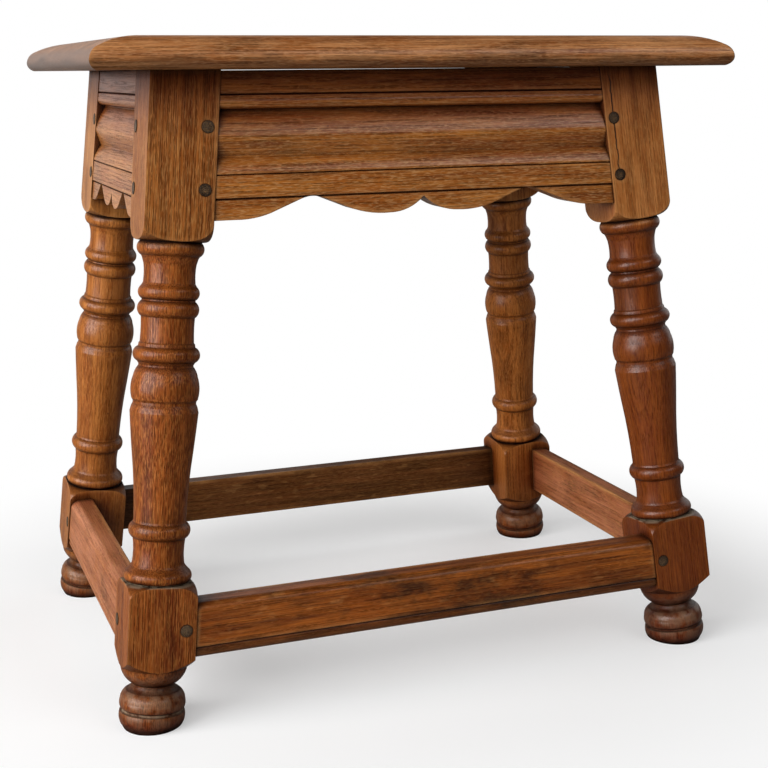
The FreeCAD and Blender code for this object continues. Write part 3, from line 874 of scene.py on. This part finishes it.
@dataclass
class Studio:
    """The pale room: camera, lamps, world and floor.

    The stool's light comes from a large window on its left, a smaller one at each front corner, and weak
    light from behind and from the right. The floor holds the stool's shadow, which fades out between two
    distances.
    """

    eye: tuple[float, float, float] = (-0.38847, -1.07729, 0.45631)
    heading: float = math.radians(20.646)
    downward: float = math.radians(12.572)
    roll: float = math.radians(0.485)
    lens: float = 65.915
    lamps: tuple[Lamp, ...] = (
        Lamp("window", place=(-2.6, -0.70, 1.15), width=2.4, height=2.2, watts=130.0),
        Lamp("front_window", place=(1.35, -2.0, 1.75), width=1.7, height=0.8, watts=12.0),
        Lamp("corner_window", place=(-1.5, -2.2, 1.5), width=1.2, height=0.9, watts=19.0),
        Lamp("backdrop", place=(-0.6, 2.6, 1.0), width=3.2, height=2.4, watts=10.0),
        Lamp("far_wall", place=(2.4, 1.1, 1.0), width=2.4, height=1.8, watts=12.0),
    )
    world_level: float = 0.07
    floor_half_size: float = 6.0
    floor_seen: int = 0xFFFFFF
    floor_speckle: int = 0xF6F6F6
    floor_bounce: int = 0x989490
    floor_glow: float = 0.35
    shadow_full: float = 0.24
    shadow_end: float = 0.56

    def build(self) -> None:
        """Makes everything that isn't the stool."""
        self.place_camera()
        for lamp in self.lamps:
            lamp.hang()
        self.surround()
        self.lay_floor()
        bpy.context.scene.view_settings.view_transform = "Standard"
        log.info("studio ready")

    def place_camera(self) -> None:
        """Sets the camera where the photographer stood."""
        level = math.cos(self.downward)
        forward = Vector(
            (math.sin(self.heading) * level, math.cos(self.heading) * level, -math.sin(self.downward))
        )
        right = Vector((math.cos(self.heading), -math.sin(self.heading), 0.0))
        down = forward.cross(right)
        rolled_right = right * math.cos(self.roll) + down * math.sin(self.roll)
        rolled_down = down * math.cos(self.roll) - right * math.sin(self.roll)
        axes = Matrix((rolled_right, -rolled_down, -forward)).transposed()
        data = bpy.data.cameras.new("camera")
        data.lens = self.lens
        data.sensor_width = 36.0
        data.clip_start = 0.05
        camera = bpy.data.objects.new("camera", data)
        camera.matrix_world = Matrix.Translation(Vector(self.eye)) @ axes.to_4x4()
        bpy.context.collection.objects.link(camera)
        bpy.context.scene.camera = camera

    def surround(self) -> None:
        """Makes a world that is white to the camera and lights the stool weakly."""
        world = bpy.data.worlds.new("room")
        world.use_nodes = True
        graph = Graph(world.node_tree)
        seen = graph.add("ShaderNodeLightPath", {}, {}, "Is Camera Ray")
        strength = self.world_level + seen * (1.0 - self.world_level)
        white = graph.add("ShaderNodeBackground", {}, {"Color": (1, 1, 1, 1), "Strength": strength})
        graph.close("ShaderNodeOutputWorld", white)
        bpy.context.scene.world = world

    def lay_floor(self) -> None:
        """Lays a pale floor that holds the stool's shadow and fades into the white room."""
        mesh = bpy.data.meshes.new("floor")
        form = bmesh.new()
        bmesh.ops.create_grid(form, x_segments=8, y_segments=8, size=self.floor_half_size)
        form.to_mesh(mesh)
        form.free()
        floor = bpy.data.objects.new("floor", mesh)
        bpy.context.collection.objects.link(floor)
        mesh.materials.append(self.floor_paint())

    def floor_paint(self) -> bpy.types.Material:
        """Makes the floor's material, greyer to the light it throws back than to the camera.

        Returns:
            The material.
        """
        material = bpy.data.materials.new("floor_paint")
        material.use_nodes = True
        graph = Graph(material.node_tree)
        place = graph.add("ShaderNodeTexCoord", {}, {}, "Object")
        seen = graph.add("ShaderNodeLightPath", {}, {}, "Is Camera Ray")
        speckle = graph.noise(place, 40.0, 3.0) * 0.03
        paint = graph.mix(speckle, srgb(self.floor_seen), srgb(self.floor_speckle))
        paint = graph.mix(seen, srgb(self.floor_bounce), paint)
        matt = graph.add("ShaderNodeBsdfDiffuse", {}, {"Color": paint})
        white = graph.add("ShaderNodeEmission", {}, {"Color": (1, 1, 1, 1), "Strength": 1.0})
        beyond = graph.vector("LENGTH", place, output="Value").ramp(self.shadow_full, self.shadow_end)
        fade = (self.floor_glow + beyond * (1.0 - self.floor_glow)) * seen
        surface = graph.add("ShaderNodeMixShader", {}, {0: fade, 1: matt, 2: white})
        graph.close("ShaderNodeOutputMaterial", surface)
        return material


@dataclass
class JointStool:
    """The whole stool, piece by piece. The grooves are heights along a leg."""

    foot_groove: float = 0.0120
    block_groove: float = 0.1048
    crack: Crack = Crack(across=-0.0172, low=0.375, high=0.462, front=-0.0243)
    # The seat's edge takes painted shade below it; the front stretcher's takes grime and painted shade.
    board_edge: LowerEdgeShadeAndGrime = LowerEdgeShadeAndGrime(height=0.4640)
    stretcher_edge: LowerEdgeShadeAndGrime = LowerEdgeShadeAndGrime(height=0.0600)

    def build(self) -> None:
        """Dresses every piece."""
        for piece in (*self.legs(), *self.boards(), *self.pegs()):
            piece.dress()

    def legs(self) -> list[Leg]:
        """Lists the legs, each from a billet of its own.

        Returns:
            The four legs.
        """
        front_left = Turning(tint=0xF0D8BC, dusty_rings=(self.foot_groove, self.block_groove))
        front_right = Turning(tint=0xB49060, dirt=0.055, dusty_rings=(self.block_groove,))
        back_left = Turning(tint=0xF4E4D8)
        back_right = Turning(tint=0xFFF0E0)
        cracks = (self.crack,)
        return [
            Leg("leg_front_left", -1, -1, LEG_OAK, Heart.BESIDE, seed=0.11, turning=front_left),
            Leg("leg_front_right", 1, -1, RED_OAK, Heart.CORNER, 0.37, turning=front_right, cracks=cracks),
            Leg("leg_back_left", -1, 1, GOLDEN_OAK, Heart.BESIDE, seed=0.59, turning=back_left),
            Leg("leg_back_right", 1, 1, BROWN_OAK, Heart.CORNER, seed=0.83, turning=back_right),
        ]

    def boards(self) -> list[Board]:
        """Lists the seat board, the rails and the stretchers.

        Returns:
            The nine pieces sawn from planks.
        """
        along_x, along_y = Vector((1, 0, 0)), Vector((0, 1, 0))
        return [
            Board("top_board", along_x, BOARD_OAK, Heart.CORNER, seed=0.23, shade_and_grime_below=self.board_edge),
            Board("rail_front", along_x, RAIL_OAK, Heart.CORNER, seed=0.41),
            Board("rail_back", along_x, RAIL_OAK, Heart.BEHIND, seed=0.67),
            Board("rail_left", along_y, RAIL_OAK, Heart.CORNER, seed=0.97),
            Board("rail_right", along_y, RAIL_OAK, Heart.BEHIND, seed=1.13),
            Board("stretcher_front", along_x, STRETCHER_OAK, Heart.CORNER, 1.31, shade_and_grime_below=self.stretcher_edge),
            Board("stretcher_back", along_x, DARK_STRETCHER_OAK, Heart.BESIDE, seed=1.49),
            Board("stretcher_left", along_y, PALE_STRETCHER_OAK, Heart.BEHIND, seed=1.61),
            Board("stretcher_right", along_y, PALE_STRETCHER_OAK, Heart.CORNER, seed=1.79),
        ]

    def pegs(self) -> list[Pegs]:
        """Lists the pegs: those of the board stand upright, the others go into the legs from outside.

        Returns:
            The nine groups of pegs.
        """
        along_x, along_y, up = Vector((1, 0, 0)), Vector((0, 1, 0)), Vector((0, 0, 1))
        groups = [Pegs("top_pegs", up, seed=2.03)]
        for place, along in (("front", along_y), ("back", along_y), ("left", along_x), ("right", along_x)):
            groups.append(Pegs(f"rail_pegs_{place}", along, seed=2.2))
            groups.append(Pegs(f"stretcher_pegs_{place}", along, seed=3.2))
        return groups


def main() -> None:
    """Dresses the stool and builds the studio."""
    logging.basicConfig(level=logging.INFO, format="%(message)s")
    JointStool().build()
    Studio().build()


if __name__ == "__main__":
    main()
